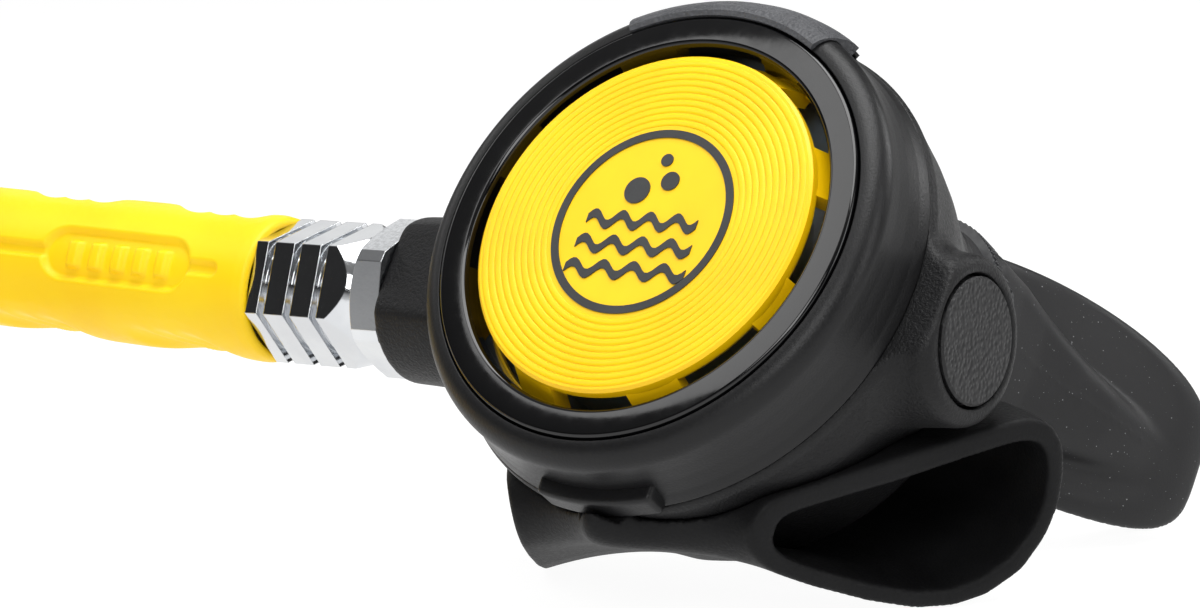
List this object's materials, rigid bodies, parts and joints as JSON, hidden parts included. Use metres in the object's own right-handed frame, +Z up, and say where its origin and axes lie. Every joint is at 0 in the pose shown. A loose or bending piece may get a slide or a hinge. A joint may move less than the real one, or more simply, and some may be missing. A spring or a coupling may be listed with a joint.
{
  "type": "scuba second stage on a low-pressure hose",
  "caption": "Round demand valve with a yellow purge button, exhaust tee and silicone mouthpiece, on a sleeved yellow hose that ends in a coil and a male fitting",
  "frame": {"origin": "on the surface the part rests on, under the centre of the stage's own outline, the hose left out", "axes": "+X from the hose side to the plain side, -Y to the front with the purge button, +Z up; the stage leans back about X and rests on its exhaust tee and mouthpiece"},
  "size_m": [0.3122, 0.2136, 0.0774],
  "materials": {
    "case_black": "fine-textured black glass-filled nylon, satin",
    "cover_black": "smooth satin black moulded plastic",
    "bezel_black": "polished black plastic ring",
    "clip_grey": "coarse-textured dark grey plastic",
    "purge_yellow": "bright yellow plastic with fine raised rings, semi-gloss",
    "badge_grey": "dark grey printed relief",
    "spring_steel": "drawn stainless spring wire",
    "ring_plastic": "black acetal ring",
    "silicone_grey": "translucent grey silicone",
    "plate_white": "off-white acetal",
    "stainless": "stamped stainless steel",
    "brass": "machined brass",
    "chrome": "bright chrome plate on brass",
    "poppet_white": "moulded acetal",
    "seat_rubber": "low-pressure seat rubber",
    "oring_rubber": "black nitrile",
    "plug_black": "pebble-textured black plastic",
    "tee_black": "matt black soft thermoplastic",
    "mouth_silicone": "dark soft silicone with a faint dust",
    "strap_black": "black nylon strap",
    "sleeve_yellow": "yellow soft thermoplastic, satin",
    "hose_yellow": "yellow hose rubber, satin",
    "ferrule_steel": "plain crimped steel"
  },
  "bodies": {
    "hose": {"hose_nipple": "stainless", "nipple_oring": "oring_rubber", "near_ferrule": "ferrule_steel", "hose_sleeve": "sleeve_yellow", "hose_core": "hose_yellow", "hose_lead": "hose_yellow", "hose_coil": "hose_yellow", "hose_tail": "hose_yellow", "far_ferrule": "ferrule_steel", "hose_connector": "chrome", "connector_oring": "oring_rubber"},
    "stage": {"case_body": "case_black", "cover_ring": "cover_black", "bezel": "bezel_black", "top_clip": "clip_grey", "purge_spring": "spring_steel", "retaining_ring": "ring_plastic", "diaphragm": "silicone_grey", "lever_pin": "stainless", "valve_barrel": "brass", "barrel_oring": "oring_rubber", "inlet_fitting": "chrome", "orifice": "brass", "poppet_spring": "spring_steel", "end_plug": "brass", "side_plug": "plug_black", "side_plug_oring": "oring_rubber", "air_vane": "ring_plastic", "exhaust_valve": "silicone_grey", "exhaust_tee": "tee_black", "mouthpiece": "mouth_silicone", "mouth_clamp": "strap_black", "swivel_nut": "chrome"},
    "button": {"purge_button": "purge_yellow", "badge": "badge_grey"},
    "plate": {"diaphragm_plate": "plate_white"},
    "demand_lever": {"lever": "stainless"},
    "valve_poppet": {"poppet": "poppet_white", "poppet_seat": "seat_rubber", "poppet_nut": "brass"}
  },
  "joints": [
    {"name": "hose_swivel", "type": "hinge", "parent": "hose", "child": "stage", "pos_m": [-0.05085, -0.02198, 0.03568], "axis": [1, 0, 0], "continuous": true},
    {"name": "purge_press", "type": "slide", "parent": "stage", "child": "button", "axis": [0, 0.8241, -0.5664], "range_m": [0, 0.0025], "stiffness_N_per_m": 800, "springref_m": -0.001, "deforming": ["purge_spring"]},
    {"name": "plate_slide", "type": "slide", "parent": "stage", "child": "plate", "axis": [0, 0.8241, -0.5664], "range_m": [0, 0.0026], "deforming": ["diaphragm"]},
    {"name": "lever_hinge", "type": "hinge", "parent": "stage", "child": "demand_lever", "pos_m": [0.03165, -0.0275, 0.03948], "axis": [0, -0.5664, -0.8241], "range_deg": [0, 8.6]},
    {"name": "poppet_slide", "type": "slide", "parent": "stage", "child": "valve_poppet", "axis": [1, 0, 0], "range_m": [0, 0.0008], "deforming": ["poppet_spring"]}
  ],
  "couplings": [
    {"joint": "plate_slide", "follows": "purge_press", "ratio": 1},
    {"joint": "lever_hinge", "follows": "purge_press", "rad_per_m": 58.5},
    {"joint": "poppet_slide", "follows": "purge_press", "ratio": 0.29}
  ]
}
